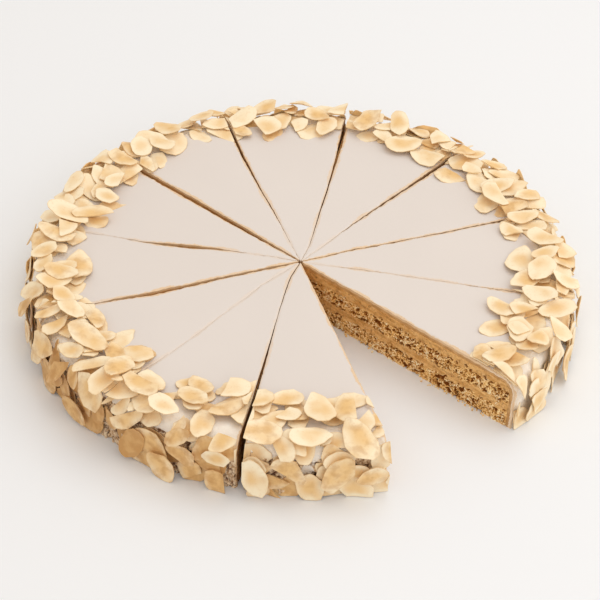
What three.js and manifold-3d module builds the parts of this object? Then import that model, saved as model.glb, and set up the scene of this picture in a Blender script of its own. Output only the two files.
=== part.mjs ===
// A round almond layer cake, cut into twelve slices with one of them taken out.
//
// Each of the eleven slices that are left is a stack of five pieces: a lower sponge, a filling of
// nut cream, an upper sponge, a top cream that also coats the side, and a white icing over the top
// and the side, with the flaked almonds of the rim set in it. Millimetres, +Z up. The origin is on
// the surface that the cake stands on, under the point where all the cuts meet.

import * as THREE from "three";
import { mergeVertices } from "three/addons/utils/BufferGeometryUtils.js";
import Module from "manifold-3d";

// ---- Driving dimensions ------------------------------------------------------------------------

const CAKE_RADIUS = 120; // the icing's outside
const CAKE_HEIGHT = 26.4; // the icing's flat top
const JOIN_GAP = 0.3; // left between pieces that lie on each other

const LOWER_SPONGE_THICKNESS = 7.7;
const FILLING_THICKNESS = 4.2;
const UPPER_SPONGE_THICKNESS = 6.7;
const TOP_CREAM_THICKNESS = 3.9;

const ICING_WALL = 2.7; // the icing down the side
const CREAM_WALL = 2.6; // the cream coat under it
const ICING_EDGE_RADIUS = 7.5; // the rounded rim of the icing
const FOOT_HEIGHT = 1.8; // the lower sponge spreads a little where it stands
const ROUND_STEPS = 3; // flats round a rounded edge
const TURN_STEPS = 48; // flats round the whole cake

// The cuts, counted round from +X. A slice is PITCH wide, and a hand-held knife strays a little.
const PORTIONS = 12;
const PITCH = 360 / PORTIONS;
const FIRST_CUT = 15;
const MISSING_SLICE = 9; // the place of the slice that has been taken, counted from the first cut
const cut = (stray, centreGap, rimGap, belly = 0, bow = 0) => ({ stray, centreGap, rimGap, belly, bow });
const CUTS = [
  cut(0.5, 0.4, 1.0, 0, 0.6),
  cut(-0.5, 0.4, 2.0),
  cut(0.2, 0.4, 2.2),
  cut(0.2, 0.4, 1.6),
  cut(0.0, 0.9, 0.9, 1.4),
  cut(0.5, 0.5, 0.4, 1.1, 1.2),
  cut(0.5, 0.6, 0.8, 1.2),
  cut(-0.5, 0.4, 0.4),
  cut(-0.4, 0.6, 3.0),
  cut(-1.3, 0.4, 0.4),
  cut(0.1, 0.4, 0.4),
  cut(0.1, 0.4, 0.5, 0, 0.6),
];

// The flaked almonds, in rows round the rim. A row's place is a length along the icing's outline:
// negative on the flat top, 0 where the rim starts to round over, positive down the side.
// Each row says how many flakes it has, how steeply they lean at most, and how far they stray from it.
const row = (place, count, pitchMost, stray) => ({ place, count, pitchMost, stray });
const ROWS = [
  row(-12, 24, 12, 4),
  row(-4.5, 36, 16, 2),
  row(3, 38, 20, 1.5),
  row(10, 36, 22, 1.5),
  row(17.5, 36, 20, 1.5),
  row(25, 28, 14, 1),
];
const FRONT_LEAN = 3; // the flakes on the top reach that much further in at the front, and less behind
const BEARING_STRAY = 0.35; // of the spacing along a row
const FLAKE_LENGTH = [13, 21];
const FLAKE_SLENDERNESS = [0.56, 0.72]; // width over length
const FLAKE_PITCH_LEAST = 2;
const FLAKE_THICKNESS = 1.2;
const FLAKE_POINTS = 6; // corners of a flake's outline
const FLAKE_TAPER = 0.22; // one end is more pointed than the other
const FLAKE_CUP = 0.06; // rise of the ends, as a share of the length
const FLAKE_SET_IN = 0.5; // depth of a flake's lowest edge in the icing
const FLAKE_ROLL_MOST = 12; // sideways lean, degrees
const SEED = 22;

const COLOURS = { sponge: 0xc69a5e, cream: 0xc08b50, icing: 0xe9e0d5 };

// ---- Heights and radii that follow -------------------------------------------------------------

const fillingBottom = LOWER_SPONGE_THICKNESS + JOIN_GAP;
const upperSpongeBottom = fillingBottom + FILLING_THICKNESS + JOIN_GAP;
const topCreamBottom = upperSpongeBottom + UPPER_SPONGE_THICKNESS + JOIN_GAP;
const topCreamTop = topCreamBottom + TOP_CREAM_THICKNESS;
const icingBottom = topCreamTop + JOIN_GAP;
const icingInside = CAKE_RADIUS - ICING_WALL;
const creamOutside = icingInside - JOIN_GAP;
const creamInside = creamOutside - CREAM_WALL;
const spongeRadius = creamInside - JOIN_GAP;
const icingInnerEdge = ICING_EDGE_RADIUS - ICING_WALL;

const wasm = await Module();
wasm.setup();

const radians = THREE.MathUtils.degToRad;

// ---- Helpers -----------------------------------------------------------------------------------

// A closed three.js geometry as a manifold-3d solid.
function solid(geometry) {
  const bare = new THREE.BufferGeometry().setIndex(geometry.index);
  bare.setAttribute("position", geometry.getAttribute("position"));
  const merged = mergeVertices(bare, 1e-4);
  const vertProperties = new Float32Array(merged.getAttribute("position").array);
  const triVerts = new Uint32Array(merged.index.array);
  return new wasm.Manifold(new wasm.Mesh({ numProp: 3, vertProperties, triVerts }));
}

// A manifold-3d solid as a three.js mesh. A scrap that a cut has freed is left out.
function meshOf(made, name, colour) {
  const pieces = made.decompose();
  const whole = pieces.reduce((most, piece) => (piece.volume() > most.volume() ? piece : most));
  const { vertProperties, triVerts } = whole.getMesh();
  const geometry = new THREE.BufferGeometry();
  geometry.setAttribute("position", new THREE.BufferAttribute(vertProperties, 3));
  geometry.setIndex(new THREE.BufferAttribute(triVerts, 1));
  geometry.computeVertexNormals();
  const material = new THREE.MeshStandardMaterial({ color: colour, roughness: 0.7, metalness: 0 });
  const mesh = new THREE.Mesh(geometry, material);
  mesh.name = name;
  return mesh;
}

// The solid that a profile of [radius, height] points sweeps round the cake's axis.
function turned(profile) {
  const points = profile.map(([radius, height]) => new THREE.Vector2(radius, height));
  return solid(new THREE.LatheGeometry(points, TURN_STEPS).rotateX(Math.PI / 2));
}

// The points of a rounded outer edge, from the side up to the top.
function roundedEdge(outside, top, radius) {
  const points = [];
  for (let i = 0; i <= ROUND_STEPS; i++) {
    const turn = (i / ROUND_STEPS) * (Math.PI / 2);
    const across = outside - radius * (1 - Math.cos(turn));
    points.push([across, top - radius * (1 - Math.sin(turn))]);
  }
  return points;
}

// A plain round block with a rounded upper edge.
function roundedBlock(outside, bottom, top, radius) {
  return turned([[0, bottom], [outside, bottom], ...roundedEdge(outside, top, radius), [0, top]]);
}

// A seeded draw from 0 to 1, and one between two limits.
let drawState = SEED;
function draw(low = 0, high = 1) {
  drawState = (Math.imul(drawState, 1664525) + 1013904223) >>> 0;
  return low + (high - low) * (drawState / 2 ** 32);
}

// ---- The layers, round the whole cake ----------------------------------------------------------

function lowerSponge() {
  const foot = creamOutside - JOIN_GAP;
  return turned([
    [0, 0],
    [foot, 0],
    [foot, FOOT_HEIGHT],
    [spongeRadius, FOOT_HEIGHT],
    [spongeRadius, LOWER_SPONGE_THICKNESS],
    [0, LOWER_SPONGE_THICKNESS],
  ]);
}

function disc(bottom, thickness) {
  const top = bottom + thickness;
  return turned([[0, bottom], [spongeRadius, bottom], [spongeRadius, top], [0, top]]);
}

function topCream() {
  const skirt = FOOT_HEIGHT + JOIN_GAP;
  return turned([
    [0, topCreamBottom],
    [creamInside, topCreamBottom],
    [creamInside, skirt],
    [creamOutside, skirt],
    ...roundedEdge(creamOutside, topCreamTop, icingInnerEdge - JOIN_GAP),
    [0, topCreamTop],
  ]);
}

// ---- Flaked almonds ----------------------------------------------------------------------------

// A point of the icing's outline: radius, height, and the outward tilt of the surface there.
function outlineAt(along) {
  const round = (ICING_EDGE_RADIUS * Math.PI) / 2;
  const inner = CAKE_RADIUS - ICING_EDGE_RADIUS;
  if (along < 0) return { radius: inner + along, height: CAKE_HEIGHT, tilt: 0 };
  if (along > round) {
    return { radius: CAKE_RADIUS, height: CAKE_HEIGHT - ICING_EDGE_RADIUS - (along - round), tilt: Math.PI / 2 };
  }
  const tilt = along / ICING_EDGE_RADIUS;
  return {
    radius: inner + ICING_EDGE_RADIUS * Math.sin(tilt),
    height: CAKE_HEIGHT - ICING_EDGE_RADIUS * (1 - Math.cos(tilt)),
    tilt,
  };
}

// The size, place and lean of every flake, row by row, as plain numbers.
function flakePlan() {
  const flakes = [];
  for (const { place, count, pitchMost, stray } of ROWS) {
    for (let i = 0; i < count; i++) {
      const bearing = radians((360 / count) * (i + draw(-BEARING_STRAY, BEARING_STRAY)));
      const lean = place < 0 ? FRONT_LEAN * Math.sin(bearing) : 0;
      const along = place + lean + draw(-stray, stray);
      const length = draw(...FLAKE_LENGTH);
      const width = length * draw(...FLAKE_SLENDERNESS);
      const spin = draw(0, 2 * Math.PI);
      const pitch = radians(draw(FLAKE_PITCH_LEAST, pitchMost));
      const roll = radians(draw(-FLAKE_ROLL_MOST, FLAKE_ROLL_MOST));
      flakes.push({ bearing, along, length, width, spin, pitch, roll });
    }
  }
  return flakes;
}

// A thin leaf, more pointed at one end and cupped along its length.
function flakeGeometry({ length, width }) {
  const outline = [];
  for (let i = 0; i < FLAKE_POINTS; i++) {
    const turn = (i / FLAKE_POINTS) * 2 * Math.PI;
    const half = (width / 2) * (1 - FLAKE_TAPER * Math.cos(turn));
    outline.push(new THREE.Vector2((length / 2) * Math.cos(turn), half * Math.sin(turn)));
  }
  const geometry = new THREE.ExtrudeGeometry(new THREE.Shape(outline), {
    depth: FLAKE_THICKNESS,
    bevelEnabled: false,
  });
  geometry.translate(0, 0, -FLAKE_THICKNESS / 2);
  const at = geometry.getAttribute("position");
  for (let i = 0; i < at.count; i++) {
    const share = at.getX(i) / (length / 2);
    at.setZ(i, at.getZ(i) + FLAKE_CUP * length * (share * share - 0.5));
  }
  return geometry;
}

// Sets a flake on the icing: its long axis turned by spin, one end lifted by pitch, leaning by roll.
function placedFlake(flake) {
  const { bearing, along, length, width, spin, pitch, roll } = flake;
  const { radius, height, tilt } = outlineAt(along);
  const out = new THREE.Vector3(Math.cos(bearing), Math.sin(bearing), 0);
  const up = new THREE.Vector3(0, 0, 1);
  const round = new THREE.Vector3().crossVectors(up, out);
  const normal = up.clone().multiplyScalar(Math.cos(tilt)).addScaledVector(out, Math.sin(tilt));
  const down = new THREE.Vector3().crossVectors(round, normal);

  const long = round.clone().multiplyScalar(Math.cos(spin)).addScaledVector(down, Math.sin(spin));
  const side = new THREE.Vector3().crossVectors(normal, long);
  const lifted = long.clone().multiplyScalar(Math.cos(pitch)).addScaledVector(normal, Math.sin(pitch));
  const face = new THREE.Vector3().crossVectors(lifted, side);
  const rolled = side.clone().multiplyScalar(Math.cos(roll)).addScaledVector(face, Math.sin(roll));
  const facing = new THREE.Vector3().crossVectors(lifted, rolled);

  const rise = (length / 2) * Math.sin(pitch) + (width / 2) * Math.abs(Math.sin(roll)) - FLAKE_SET_IN;
  const centre = out.multiplyScalar(radius).addScaledVector(up, height).addScaledVector(normal, rise);
  const matrix = new THREE.Matrix4().makeBasis(lifted, rolled, facing).setPosition(centre);
  return solid(flakeGeometry(flake).applyMatrix4(matrix));
}

// The icing with its almonds, hollowed for the cream under it.
function icingWithAlmonds() {
  const outside = roundedBlock(CAKE_RADIUS, 0, CAKE_HEIGHT, ICING_EDGE_RADIUS);
  const inside = roundedBlock(icingInside, -1, icingBottom, icingInnerEdge);
  const flakes = flakePlan().map(placedFlake);
  return wasm.Manifold.union([outside, ...flakes]).subtract(inside);
}

// ---- The cuts ----------------------------------------------------------------------------------

const cutAngle = (index) => {
  const turn = (index + PORTIONS) % PORTIONS;
  return radians(FIRST_CUT + PITCH * index + CUTS[turn].stray);
};

// One face of a cut, as points in plan: side +1 is the face that looks back along the turn.
function cutFace(index, side) {
  const { centreGap, rimGap, belly, bow } = CUTS[index % PORTIONS];
  const angle = cutAngle(index);
  const along = new THREE.Vector2(Math.cos(angle), Math.sin(angle));
  const across = new THREE.Vector2(-along.y, along.x);
  const shares = belly || bow ? [1 / 3, 2 / 3, 1, 1.4] : [1, 1.4];
  return shares.map((share) => {
    const wave = share < 1 ? Math.sin(Math.PI * share) : 0;
    const gap = centreGap + (rimGap - centreGap) * share + belly * wave;
    const offset = bow * wave + (side * gap) / 2;
    return along.clone().multiplyScalar(share * CAKE_RADIUS).addScaledVector(across, offset);
  });
}

// The point of a slice, clear of the middle of its two cuts.
function slicePoint(index) {
  const first = cutAngle(index);
  const last = cutAngle(index + 1);
  const middle = (first + last) / 2;
  const gap = Math.max(CUTS[index % PORTIONS].centreGap, CUTS[(index + 1) % PORTIONS].centreGap);
  const reach = gap / 2 / Math.sin((last - first) / 2);
  return new THREE.Vector2(Math.cos(middle), Math.sin(middle)).multiplyScalar(reach);
}

// A tall block in the shape of one slice seen from above, reaching past the flakes.
function sliceBlock(index) {
  const outline = [slicePoint(index), ...cutFace(index, 1), ...cutFace(index + 1, -1).reverse()];
  const depth = 2 * CAKE_HEIGHT;
  return solid(new THREE.ExtrudeGeometry(new THREE.Shape(outline), { depth, bevelEnabled: false }));
}

// ---- The cake ----------------------------------------------------------------------------------

const layers = [
  ["lower_sponge", lowerSponge(), COLOURS.sponge],
  ["filling", disc(fillingBottom, FILLING_THICKNESS), COLOURS.cream],
  ["upper_sponge", disc(upperSpongeBottom, UPPER_SPONGE_THICKNESS), COLOURS.sponge],
  ["top_cream", topCream(), COLOURS.cream],
  ["icing", icingWithAlmonds(), COLOURS.icing],
];

const cake = new THREE.Group();
for (let index = 0; index < PORTIONS; index++) {
  if (index === MISSING_SLICE) continue;
  const block = sliceBlock(index);
  const slice = new THREE.Group();
  const number = cake.children.length + 1;
  for (const [layer, whole, colour] of layers) {
    slice.add(meshOf(whole.intersect(block), `slice_${number}_${layer}`, colour));
  }
  cake.add(slice);
}

export default cake;
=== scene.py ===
"""A round almond layer cake in twelve portions, one of them taken out, dressed for the render.

Each slice is built up as a baker builds it: lower sponge, filling, upper sponge, top cream, icing,
and the flaked almonds pressed into the rim. Lengths are in millimetres and become metres with MM.
"""

import math
import random
from collections import namedtuple

import bmesh
import bpy
import numpy as np
from mathutils import Euler, Matrix, Vector, noise
from mathutils.bvhtree import BVHTree


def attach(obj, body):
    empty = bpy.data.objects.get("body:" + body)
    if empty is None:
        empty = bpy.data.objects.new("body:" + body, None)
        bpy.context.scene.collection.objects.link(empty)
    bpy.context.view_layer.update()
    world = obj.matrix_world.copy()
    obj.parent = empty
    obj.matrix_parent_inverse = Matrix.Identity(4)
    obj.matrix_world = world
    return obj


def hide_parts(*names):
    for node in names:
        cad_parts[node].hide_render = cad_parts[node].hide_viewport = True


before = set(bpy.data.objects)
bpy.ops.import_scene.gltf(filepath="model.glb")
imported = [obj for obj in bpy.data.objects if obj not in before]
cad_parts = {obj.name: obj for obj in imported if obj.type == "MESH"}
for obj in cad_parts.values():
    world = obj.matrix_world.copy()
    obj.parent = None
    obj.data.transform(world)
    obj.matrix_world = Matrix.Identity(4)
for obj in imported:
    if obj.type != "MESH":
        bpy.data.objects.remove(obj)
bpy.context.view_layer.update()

MM = 0.001
UP = Vector((0, 0, 1))

# ---- The cake's sizes, as the CAD part has them -------------------------------------------------

CAKE_RADIUS = 120.0
CAKE_HEIGHT = 26.4
ICING_EDGE_RADIUS = 7.5
ICING_THICKNESS = 2.85
JOIN_GAP = 0.3

# Where a cut shows cream and sponge to meet: the heights, and how far out the crumb shows above its
# foot.
CREAM_LINES = (7.85, 12.35, 19.35)
CRUMB_RADIUS = 116.4
FOOT_HEIGHT = 1.8

PORTIONS = 12
CUT_SPACING = 30.0
FIRST_CUT = 15.0
MISSING_SLICE = 9

# Each cut: how far it strays in degrees, its gap at the centre and at the rim, how much wider the
# gap is half way, and how far the knife bows sideways.
CUTS = [
    (0.5, 0.4, 1.0, 0.0, 0.6),
    (-0.5, 0.4, 2.0, 0.0, 0.0),
    (0.2, 0.4, 2.2, 0.0, 0.0),
    (0.2, 0.4, 1.6, 0.0, 0.0),
    (0.0, 0.9, 0.9, 1.4, 0.0),
    (0.5, 0.5, 0.4, 1.1, 1.2),
    (0.5, 0.6, 0.8, 1.2, 0.0),
    (-0.5, 0.4, 0.4, 0.0, 0.0),
    (-0.4, 0.6, 3.0, 0.0, 0.0),
    (-1.3, 0.4, 0.4, 0.0, 0.0),
    (0.1, 0.4, 0.4, 0.0, 0.0),
    (0.1, 0.4, 0.5, 0.0, 0.6),
]

# The icing breaks a little to the side of each cut: how far, at each of these radii.
CRACK_RADII = (0, 12, 25, 40, 55, 70, 85, 95, 120)
CRACK_SIDEWAYS = [
    (0, 0, 0.5, 0, 0, -0.4, 0, 0, 0),
    (0, 0.2, 0.5, 0.9, 0.8, 0.6, 0.4, 0.3, 0),
    (0, -1.6, -1.6, -1.6, -1.8, -1.7, -1.5, -1.2, -0.4),
    (0, 0.2, 0, 0, 0.55, 0.5, 0.5, 0, 0),
    (0, 0, 0, 0, 0, 0, 0, 0, 0),
    (0, -1.0, -1.5, -1.7, -0.5, 0.4, -0.3, -0.3, 0),
    (0, 0.2, 0.2, 0.4, 1.0, 1.4, 0.6, 0.6, 0),
    (0, -0.7, -1.5, -0.4, 0, 0.8, 1.0, 0.6, 0),
    (0, -2.2, -2.35, -2.1, -1.6, -1.1, -0.8, -0.1, 0),
    (0, 0, 0, 0, 0, 0, 0, 0, 0),
    (0, 0, 0, 0, 0, 0, 0, 0, 0),
    (0, -0.5, 0, 0, -0.2, -0.2, -0.3, 0, 0),
]

# How much of each cut's gap the icing closes at those radii: below 0 it broke back from the gap.
CRACK_CLOSED = [
    (0, 0, 0, 0, 0.3, 0.2, 0.2, 0, 0),
    (0.9, 0.9, 0.85, 0.4, 0.3, 0.3, 0.1, 0, 0),
    (0.8, 0.8, 0.6, 0.5, 0.5, 0.4, 0.2, 0, 0),
    (0.9, 0.9, 0.75, 0.4, 0.35, 0.1, 0, 0, 0),
    (0.2, 0.2, 0, -0.1, -0.1, -0.1, -0.3, -0.3, 0),
    (0.85, 0.85, 0.85, 0.1, -0.6, 0.5, 0.85, 0.9, 0.5),
    (-0.2, -0.2, 0.1, 0.1, 0, -0.2, 0.2, 0.6, 0),
    (0.95, 0.95, 0.9, 0.95, 0.9, 0.85, 0.95, 0.7, 0),
    (0.5, 0.5, 0.7, 0.85, 0.7, 0.55, 0.4, 0.25, 0),
    (0, 0, 0, 0, 0, 0, 0, 0, 0),
    (0, 0, 0, 0, 0, 0, 0, 0, 0),
    (0.9, 0.9, 0.4, 0.7, 0.7, 0.6, 0.2, 0.2, 0),
]
HAIRLINE = 0.06

# How much painted shade darkens the inside of each cut, where the narrow gap lets little light in:
# 0 is the colour of a fresh face.
PAINTED_GAP_SHADE = (0.8, 0.8, 0.45, 0.25, 0.1, 0.2, 0.2, 1, 0.9, 0, 0, 0.8)

# Rows of large flakes: place along the icing's outline, count, steepest lean in degrees, stray.
FLAKE_ROWS = [
    (-12.0, 24, 12.0, 4.0),
    (-4.5, 36, 16.0, 2.0),
    (3.0, 38, 20.0, 1.5),
    (10.0, 36, 22.0, 1.5),
    (17.5, 36, 20.0, 1.5),
    (25.0, 28, 14.0, 1.0),
]
# Rows of small and broken flakes between the large ones.
SMALL_ROWS = [
    (-12.0, 44, 8.0, 4.0),
    (-7.0, 58, 12.0, 3.0),
    (-2.0, 84, 18.0, 3.0),
    (3.0, 84, 24.0, 3.0),
    (8.0, 58, 20.0, 3.0),
    (13.5, 52, 22.0, 3.0),
    (19.0, 56, 22.0, 3.0),
    (25.0, 60, 18.0, 3.0),
]
FLAKE_LENGTH = (13.0, 21.0)
SMALL_LENGTH = (11.0, 19.0)
FLAKE_SLENDERNESS = (0.56, 0.72)
FLAKE_PITCH_LEAST = 2.0
FLAKE_ROLL_MOST = 12.0
FLAKE_THICKNESS = 0.7
FLAKE_SET_IN = 0.5
FRONT_LEAN = 3.0  # the flakes on the top reach that much further in at the front
BEARING_STRAY = 0.35
SEED = 22

# A flake's form: how thin its edge is, how far it is cupped, bent and twisted, how pointed it is,
# and what is broken and chipped off.
FLAKE_CORNERS = 20
FLAKE_EDGE_SHARE = 0.45
FLAKE_CUP = 0.05
FLAKE_BEND = 0.1
FLAKE_TWIST = 0.08
FLAKE_POINT = (0.5, 0.74)
LARGE_BROKEN_SHARE = 0.14
SMALL_BROKEN_SHARE = 0.5
BREAK_PLACE = (0.1, 0.3)
CHIPS = 2
CHIP_PLACE = (0.8, 1.05)
FLAKE_MARKS = ("heart", "under", "tone")

# How the flakes come to lie: bunches and bays along their inner edge, how deep they sit in the
# icing, how they are let down on each other, and when one lies too high or too little is left.
BUNCH_SIZE = 35.0
BUNCH_REACH = 12.0
SETTLE_DEPTH = 0.45
SETTLE_STEP = 0.25
SETTLE_STEPS = 20
HIGHEST_LAID = 4.6
TILTS_TRIED = ((1, 1), (0.5, 0.2), (0.1, 0.8), (0.1, 0.1))
LAID_PLACES = (-9, -3, 8, 14)
LAID_TILTS = (0.5, 0.85, 0.75, 0.35)
SCRAP_SIZE = 5.0
SCRAP_CORNERS = 8
LOWEST_ALMOND = 0.3

# Loose crumbs at the foot of the two open cuts.
HIDDEN_CUT_CRUMBS = 22
SHOWN_CUT_CRUMBS = 44
CRUMB_SIZE = (0.2, 0.7)
CRUMB_DRIFT = (0.1, 0.9)

# ---- Meshes and relief --------------------------------------------------------------------------

# How finely the icing and the cut faces are divided.
COAT_COLUMNS = 60
COAT_TOP_ROWS = 42
COAT_RIM_STEP = 1.0
OUTER_MARKS = ("edge", "stained", "gap_shade", "whipped", "bare", "pit", "length")
FLAKED_BAND = 28.0
SHOWN_CRUMB_STEP = 0.33
HIDDEN_CRUMB_STEP = 1.5

# The cut faces: how much of the relief they get, the sizes of the bubbles, and the depths of the
# bubbles, of the lumps between them and of the knife's drags in the cream.
SHOWN_RELIEF = 1.0
HIDDEN_RELIEF = 0.25
LARGE_BUBBLE = 2.6
SMALL_BUBBLE = 1.3
BUBBLE_DEPTH = 1.6
SPONGE_LUMP = 0.5
CREAM_DRAG = 0.2
CREAM_NICK_DEPTH = 0.9

# The icing: its slow wave, the roughness and the peaks of the whipped cream, how the thin cream on
# the side is torn, and how the knife dragged and broke the icing's edge.
ICING_WAVE = 0.1
WHIPPED_ROUGHNESS = 0.55
WHIPPED_PEAKS = 0.6
TORN_BUBBLE = 2.8
TORN_DEPTH = 1.5
DRAG_WIDTH = 0.9
RAGGED_EDGE = 0.35
# The side turned from the lamps, where the cream is thin and the flakes get painted shade.
THIN_CREAM_AND_SHADE_BEARING = math.radians(222)

# Added to a length along the outline, to tell the outer points of the icing from the inner ones.
OUTSIDE_MARK = 1000.0

# How near in space, and how alike in direction, two things are when they count as the same.
WELD_DISTANCE = 0.01
ON_PLANE = 0.05
SAME_WAY = 0.9
VERY_SAME_WAY = 0.99
LEVEL_NORMAL = 0.1
SMALLEST_CUT_FACE = 40.0

# ---- Colours ------------------------------------------------------------------------------------


def srgb(red, green, blue):
    """A colour picked in 8-bit sRGB, as linear light."""
    shares = [c / 255 for c in (red, green, blue)]
    return tuple(((s + 0.055) / 1.055) ** 2.4 if s > 0.04 else s / 12.92 for s in shares) + (1.0,)


# Two colours on one line are the ends of a mix.
GLAZE = srgb(222, 216, 213), srgb(227, 221, 218)
WHIPPED_CREAM = srgb(247, 240, 230), srgb(255, 252, 246)
THIN_CREAM = srgb(180, 136, 88), srgb(242, 220, 188)
# Crumb showing through the torn cream, darkened with painted shade in the pits.
CRUMB_WITH_PIT_SHADE = srgb(104, 58, 20)
KNIFE_SMEAR = srgb(216, 174, 122), srgb(242, 216, 178)
# The cut side of the icing: beige from dragged cream and crumbs, and partly painted shade.
CUT_GLAZE_AND_SHADE = srgb(222, 190, 146), srgb(240, 214, 176)
CUT_WHIPPED = srgb(252, 244, 230)
CREAM_UNDER_ICING = srgb(186, 140, 86), srgb(216, 174, 120)
# Painted shade inside a narrow cut, on the icing.
GAP_SHADE_IN_ICING = srgb(130, 74, 28)
PALE_ALMOND = srgb(253, 240, 211)
GOLDEN_ALMOND = srgb(238, 200, 140)
# A darker almond tone that some flakes have, and painted shade low on the side turned from the
# lamps.
DARK_ALMOND_AND_SIDE_SHADE = srgb(194, 143, 82)
# Painted light on a flake's underside, as if lit through the thin flake.
UNDERSIDE_PAINTED_LIGHT = srgb(250, 218, 166)
# What is left of the skin at a flake's rim, and painted shade where flakes overlap.
ALMOND_SKIN_AND_EDGE_SHADE = srgb(214, 170, 108)
ALMOND_GRAIN = srgb(222, 172, 106)
SPONGE_STRAND = srgb(255, 222, 160), srgb(255, 246, 212)
SPONGE_MIDDLE = srgb(216, 156, 80), srgb(246, 194, 114)
# Painted shade in the bubbles of the crumb.
SPONGE_PORE_SHADE = srgb(132, 76, 24)
CREAM_STREAK = srgb(210, 158, 90), srgb(246, 202, 134)
CREAM_PATCH = srgb(240, 200, 144)
NUT_BIT = srgb(154, 106, 56)
NUT_DUST = srgb(156, 104, 48)
# Painted shade in the nicks the knife left in the cream.
CREAM_NICK_SHADE = srgb(118, 72, 30)
# Painted shade inside a narrow cut, on cream and sponge.
GAP_SHADE_IN_LAYERS = srgb(120, 62, 16)
FLOOR_COLOURS = srgb(238, 243, 250), srgb(241, 246, 253)


# ---- The cuts -----------------------------------------------------------------------------------


def away(bearing):
    """The level direction from the cake's middle out, at a bearing."""
    return Vector((math.cos(bearing), math.sin(bearing), 0))


def crosswise(bearing):
    """The level direction square to that, against the clock."""
    return Vector((-math.sin(bearing), math.cos(bearing), 0))


def cut_angle(index):
    """The bearing of a cut."""
    return math.radians(FIRST_CUT + CUT_SPACING * index + CUTS[index % PORTIONS][0])


def face_offset(index, side, radius):
    """How far a cut's face lies to the side of its middle line, at a radius. side is +1 or -1."""
    _, centre_gap, rim_gap, belly, bow = CUTS[index % PORTIONS]
    share = radius / CAKE_RADIUS
    wave = math.sin(math.pi * share) if share < 1 else 0.0
    gap = centre_gap + (rim_gap - centre_gap) * share + belly * wave
    return bow * wave + side * gap / 2


def closed_share(index, radius):
    """How much of a cut the icing closes at a radius: below 0 the icing broke back from it."""
    return float(np.interp(radius, CRACK_RADII, CRACK_CLOSED[index % PORTIONS]))


def crack_offset(index, side, radius):
    """How far the edge of the icing lies to the side of a cut's middle line, at a radius."""
    sideways = float(np.interp(radius, CRACK_RADII, CRACK_SIDEWAYS[index % PORTIONS]))
    middle = (face_offset(index, 1, radius) + face_offset(index, -1, radius)) / 2
    half_gap = abs(face_offset(index, side, radius) - middle) * (1 - closed_share(index, radius))
    return middle + sideways + side * max(half_gap, HAIRLINE / 2)


def crack_bearing(index, side, radius):
    """The bearing at which the icing's edge crosses a circle of that radius."""
    share = max(-1.0, min(1.0, crack_offset(index, side, radius) / radius))
    return cut_angle(index) + math.asin(share)


def tip_radius(index):
    """Where the two cut faces of a slice meet."""
    gap = max(CUTS[index % PORTIONS][1], CUTS[(index + 1) % PORTIONS][1])
    half = (cut_angle(index + 1) - cut_angle(index)) / 2
    return gap / 2 / math.sin(half)


# ---- The icing's outline ------------------------------------------------------------------------

ROUND_LENGTH = ICING_EDGE_RADIUS * math.pi / 2
FLAT_RADIUS = CAKE_RADIUS - ICING_EDGE_RADIUS
OUTLINE_END = ROUND_LENGTH + CAKE_HEIGHT - ICING_EDGE_RADIUS


def outline_at(along):
    """Radius, height and outward tilt of the icing at a length along it from the rim's start."""
    if along < 0:
        return FLAT_RADIUS + along, CAKE_HEIGHT, 0.0
    if along > ROUND_LENGTH:
        return CAKE_RADIUS, CAKE_HEIGHT - ICING_EDGE_RADIUS - (along - ROUND_LENGTH), math.pi / 2
    tilt = along / ICING_EDGE_RADIUS
    radius = FLAT_RADIUS + ICING_EDGE_RADIUS * math.sin(tilt)
    return radius, CAKE_HEIGHT - ICING_EDGE_RADIUS * (1 - math.cos(tilt)), tilt


def facing_out(out, tilt):
    """The way the icing faces where it tilts outward by so much."""
    return UP * math.cos(tilt) + out * math.sin(tilt)


def height_over_icing(point):
    """How far a point, in millimetres, stands clear of the icing: below 0 it is inside."""
    radius = math.hypot(point.x, point.y)
    out = radius - FLAT_RADIUS
    up = point.z - (CAKE_HEIGHT - ICING_EDGE_RADIUS)
    if out > 0 and up > 0:
        return math.hypot(out, up) - ICING_EDGE_RADIUS
    return max(out, up) - ICING_EDGE_RADIUS


# ---- Meshes -------------------------------------------------------------------------------------


def put_in_scene(name, data):
    """Makes an object of a mesh, a light or a camera."""
    made = bpy.data.objects.new(name, data)
    bpy.context.scene.collection.objects.link(made)
    return made


def finished_mesh(name, bm, material):
    """Turns what was modelled into a mesh of one material."""
    mesh = bpy.data.meshes.new(name)
    bm.to_mesh(mesh)
    bm.free()
    mesh.materials.append(material)
    return mesh


def finish_piece(name, bm, material, nodes):
    """Makes a piece of a mesh in millimetres, which stands for these CAD nodes."""
    bmesh.ops.scale(bm, vec=(MM, MM, MM), verts=bm.verts)
    piece = put_in_scene(name, finished_mesh(name, bm, material))
    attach(piece, "root")
    if nodes:
        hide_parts(*nodes)


def whole_faces(node):
    """A copy of a CAD node's mesh, in millimetres, with its triangles joined into flat faces."""
    bm = bmesh.new()
    bm.from_mesh(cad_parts[node].data)
    bmesh.ops.scale(bm, vec=(1 / MM, 1 / MM, 1 / MM), verts=bm.verts)
    bmesh.ops.remove_doubles(bm, verts=bm.verts, dist=WELD_DISTANCE)
    bmesh.ops.dissolve_limit(bm, angle_limit=math.radians(1), verts=bm.verts, edges=bm.edges)
    return bm


def is_cut_face(face):
    """Whether a face is where the knife went: upright, and in line with the cake's middle."""
    middle = face.calc_center_median()
    outward = Vector((middle.x, middle.y, 0)).normalized()
    return abs(face.normal.z) < LEVEL_NORMAL and abs(face.normal.dot(outward)) < 0.5


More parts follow.
